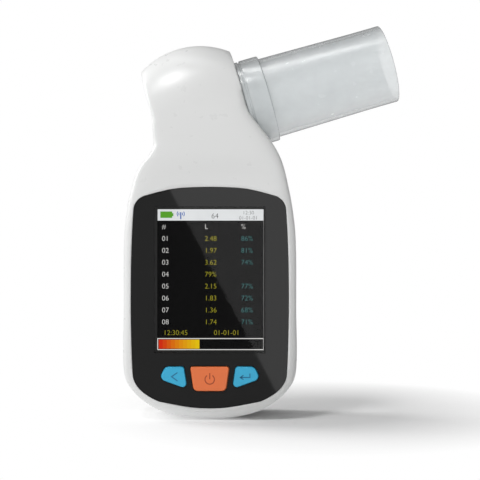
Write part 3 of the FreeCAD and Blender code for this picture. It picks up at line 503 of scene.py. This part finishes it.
def lit_picture():
    header = Flat(screen_layer(1))
    strips = 12
    width = (PICTURE_RIGHT - PICTURE_LEFT) / strips
    for step in range(strips):
        left = PICTURE_LEFT + width * step
        header.plate(left, left + width, HEADER_LOW, PICTURE_TOP)
    material = glow("screen_header", (0.80, 0.82, 0.83), 1.0)
    header.piece("screen_header", material, "casing", "screen")

    icon = Flat(screen_layer(2))
    icon.plate(-20.2, -15.4, 82.0, 84.6)
    icon.plate(-15.4, -14.9, 82.7, 83.9)
    icon.piece("screen_battery", glow("screen_green", (0.12, 0.42, 0.03), 0.9), "casing", "screen")

    waves = Flat(screen_layer(2))
    waves.stroke([(-11.9, 81.5), (-11.9, 84.3)], 0.45)
    for reach in (0.8, 1.5):
        for side in (-1, 1):
            arc = [(-11.9 + side * reach * math.cos(turn), 83.6 + reach * math.sin(turn))
                   for turn in (-0.7, -0.25, 0.25, 0.7)]
            waves.stroke(arc, 0.3)
    waves.piece("screen_signal", glow("screen_blue", (0.02, 0.12, 0.5), 0.9), "casing", "screen")

    title = Flat(screen_layer(2))
    title.figures("64", 2.0, 81.8, 3.0, centred=True)
    title.figures("12:30", 15.6, 83.4, 2.1, centred=True)
    title.figures("01-01-01", 15.6, 81.3, 2.1, centred=True)
    title.piece("screen_title", glow("screen_dark", (0.01, 0.01, 0.01), 1.0), "casing", "screen")

    labels, values, shares = Flat(screen_layer(1)), Flat(screen_layer(1)), Flat(screen_layer(1))
    for column, mark in zip(COLUMNS, ("#", "L", "%")):
        labels.figures(mark, column, ROW_TOP, FIGURE_SIZE)
    for row, (value, share) in enumerate(READINGS, 1):
        height = ROW_TOP - ROW_PITCH * row
        labels.figures("%02d" % row, COLUMNS[0], height, FIGURE_SIZE)
        values.figures(value, COLUMNS[1], height, FIGURE_SIZE)
        shares.figures(share, COLUMNS[2], height, FIGURE_SIZE)
    values.figures("12:30:45", -19.0, ROW_TOP - ROW_PITCH * 9 + 0.5, FIGURE_SIZE)
    values.figures("01-01-01", 1.5, ROW_TOP - ROW_PITCH * 9 + 0.5, FIGURE_SIZE)
    labels.stroke([(PICTURE_LEFT, BAR_LOW), (PICTURE_RIGHT, BAR_LOW), (PICTURE_RIGHT, BAR_HIGH),
                   (PICTURE_LEFT, BAR_HIGH), (PICTURE_LEFT, BAR_LOW)], 0.35)
    labels.piece("screen_labels", glow("screen_white", (0.75, 0.75, 0.73), 1.0), "casing", "screen")
    material = glow("screen_yellow", (0.36, 0.33, 0.02), 1.0)
    values.piece("screen_values", material, "casing", "screen")
    shares.piece("screen_shares", glow("screen_teal", (0.04, 0.17, 0.17), 1.0), "casing", "screen")


def bar_colour(share):
    """Red to orange to yellow, as the bar fills."""
    return (0.75 + 0.2 * share, 0.03 + 0.62 * share ** 1.3, 0.005)


def progress_bar():
    steps = 10
    left, width = PICTURE_LEFT + 0.4, (BAR_FILLED - PICTURE_LEFT - 0.4) / steps
    for step in range(steps):
        band = Flat(screen_layer(1))
        band.plate(left + width * step, left + width * (step + 1), BAR_LOW + 0.4, BAR_HIGH - 0.4)
        material = glow("bar_%d" % step, bar_colour(step / (steps - 1)), 0.9)
        band.piece("screen_bar_%d" % step, material, "casing", "screen")


def window_border():
    """The black print round the picture, on the back of the window."""
    low, high = (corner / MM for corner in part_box("display_window"))
    border = Flat(high.y - 0.05)
    reach = 0.3
    border.plate(low.x - reach, PICTURE_LEFT, low.z - reach, high.z + reach)
    border.plate(PICTURE_RIGHT, high.x + reach, low.z - reach, high.z + reach)
    border.plate(PICTURE_LEFT, PICTURE_RIGHT, low.z - reach, PICTURE_LOW)
    border.plate(PICTURE_LEFT, PICTURE_RIGHT, PICTURE_TOP, high.z + reach)
    border.piece("window_border", BORDER, "casing", "panel")


lit_picture()
progress_bar()
window_border()


# Marks on the keys: flat strokes in a darker hue of each key, painted shade standing in for their
# engraved grooves

MARK_WIDTH = 0.42


def key_front(node):
    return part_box(node)[0].y / MM - 0.02


def arc_points(x, z, radius, start, stop, steps=20):
    return [(x + radius * math.sin(math.radians(start + (stop - start) * step / steps)),
             z + radius * math.cos(math.radians(start + (stop - start) * step / steps)))
            for step in range(steps + 1)]


def key_marks():
    left = Flat(key_front("key_left"))
    left.stroke([(-13.0, 19.6), (-15.4, 17.9), (-13.0, 16.2)], MARK_WIDTH)
    left.piece("mark_back", BLUE_GROOVE_SHADE, "left_key", "blue_key")
    power = Flat(key_front("key_power"))
    power.stroke(arc_points(0, 16.8, 1.9, 35, 325), MARK_WIDTH)
    power.stroke([(0, 16.9), (0, 19.3)], MARK_WIDTH)
    power.piece("mark_power", ORANGE_GROOVE_SHADE, "power_key", "orange_key")
    right = Flat(key_front("key_right"))
    right.stroke([(16.2, 19.2), (16.2, 17.6), (12.4, 17.6)], MARK_WIDTH)
    right.stroke([(13.6, 18.5), (12.3, 17.6), (13.6, 16.7)], MARK_WIDTH)
    right.piece("mark_enter", BLUE_GROOVE_SHADE, "right_key", "blue_key")


key_marks()


# Stage, lights and camera

# Directions and the light's levels at them: from the left to the right, and what surfaces mirror
# from below the object to over it. What is seen through clear parts has one level.
LEFT_TO_RIGHT = (-0.5, 0.6, 0.52, 0.06)
LOW_TO_HIGH = (-0.5, -0.15, 0.8, 0.16)
BEHIND_CLEAR = 0.95


def background():
    """White behind the object; softer light from the left than the right, and dark reflections."""
    world = bpy.data.worlds.new("studio")
    bpy.context.scene.world = world
    world.use_nodes = True
    tree = world.node_tree
    tree.nodes.clear()
    output = tree.nodes.new("ShaderNodeOutputWorld")
    path = tree.nodes.new("ShaderNodeLightPath")
    place = tree.nodes.new("ShaderNodeTexCoord")
    way = tree.nodes.new("ShaderNodeSeparateXYZ")
    tree.links.new(place.outputs["Generated"], way.inputs["Vector"])

    def shade(level=1.0):
        node = tree.nodes.new("ShaderNodeBackground")
        node.inputs["Color"].default_value = (level, level, level, 1)
        node.inputs["Strength"].default_value = 1.0
        return node

    rest, mirrored = shade(), shade()
    tree.links.new(ramp(tree, way.outputs["X"], *LEFT_TO_RIGHT), rest.inputs["Strength"])
    tree.links.new(ramp(tree, way.outputs["Z"], *LOW_TO_HIGH), mirrored.inputs["Strength"])
    current = rest.outputs["Background"]
    for key, other in (("Is Glossy Ray", mirrored), ("Is Transmission Ray", shade(BEHIND_CLEAR)),
                       ("Is Camera Ray", shade())):
        mix = tree.nodes.new("ShaderNodeMixShader")
        tree.links.new(path.outputs[key], mix.inputs["Fac"])
        tree.links.new(current, mix.inputs[1])
        tree.links.new(other.outputs["Background"], mix.inputs[2])
        current = mix.outputs["Shader"]
    tree.links.new(current, output.inputs["Surface"])


# In metres: the middle of the shadow, and the distances from it where the floor's painted glow
# starts to turn it white and where it is full white
FLOOR_MIDDLE = (0.045, 0.01, 0)
FLOOR_FADE = (0.035, 0.10)
FLOOR_REACH = 6.0


def floor():
    """A pale floor with painted light: away from the shadow's middle it glows white, more with
    distance, and so turns into the white background.
    """
    shader = Shader("floor")
    matte = shader.add("ShaderNodeBsdfDiffuse")
    matte.inputs["Color"].default_value = (0.97, 0.97, 0.97, 1)
    # Painted light: a white glow that takes over from the lit matte floor with distance from the
    # shadow's middle
    painted_glow = shader.add("ShaderNodeEmission")
    painted_glow.inputs["Color"].default_value = (1, 1, 1, 1)
    place = shader.add("ShaderNodeTexCoord")
    distance = shader.add("ShaderNodeVectorMath", operation="DISTANCE")
    distance.inputs[1].default_value = FLOOR_MIDDLE
    mix = shader.add("ShaderNodeMixShader")
    shader.link(place.outputs["Object"], distance.inputs[0])
    shader.link(ramp(shader.tree, distance.outputs["Value"], *FLOOR_FADE), mix.inputs["Fac"])
    shader.link(matte.outputs["BSDF"], mix.inputs[1])
    shader.link(painted_glow.outputs["Emission"], mix.inputs[2])
    mesh = bpy.data.meshes.new("floor")
    signs = ((-1, -1), (1, -1), (1, 1), (-1, 1))
    corners = [(x * FLOOR_REACH, y * FLOOR_REACH, 0) for x, y in signs]
    mesh.from_pydata(corners, [], [(0, 1, 2, 3)])
    plane = add_object("floor", mesh, shader.finish(mix.outputs["Shader"]))
    plane.visible_glossy = False


# Each lamp's name, place, target, width, height, power and roll
LAMPS = [
    ("key", (-240, -316, 620), (0, 0, 110), 170, 100, 1.35, -20),
    ("left_strip", (-430, 150, 330), (0, 0, 60), 160, 300, 1.3, 0),
    ("left_front", (-540, -200, 160), (0, 0, 80), 200, 400, 0.25, 0),
    ("tube_strip", (-106, -77, 713), (0, 0, 130), 520, 60, 0.4, 0),
    ("panel_gloss", (217, -905, 120), (217, 0, 120), 500, 900, 1.0, 27.7),
]


def area_light(name, place, target, width, height, power, roll):
    """A soft lamp at a place in millimetres that faces a target."""
    data = bpy.data.lights.new(name, type="AREA")
    data.shape = "RECTANGLE"
    data.size, data.size_y = width * MM, height * MM
    data.energy = power
    lamp = bpy.data.objects.new(name, data)
    bpy.context.scene.collection.objects.link(lamp)
    way = Vector(target) - Vector(place)
    lamp.matrix_world = (Matrix.Translation(Vector(place) * MM)
                         @ way.to_track_quat("-Z", "Y").to_matrix().to_4x4()
                         @ Matrix.Rotation(math.radians(roll), 4, "Z"))


def camera():
    data = bpy.data.cameras.new("camera")
    data.lens = FOCAL_LENGTH
    data.sensor_width = 36
    data.clip_start, data.clip_end = 0.01, 20
    obj = bpy.data.objects.new("camera", data)
    bpy.context.scene.collection.objects.link(obj)
    obj.location = Vector((CAMERA_SIDE, PANEL_FACE - CAMERA_DISTANCE, CAMERA_HEIGHT)) * MM
    obj.rotation_euler = (math.radians(90), 0, 0)
    bpy.context.scene.camera = obj


background()
floor()
for lamp_values in LAMPS:
    area_light(*lamp_values)
camera()
bpy.context.scene.view_settings.view_transform = "Standard"
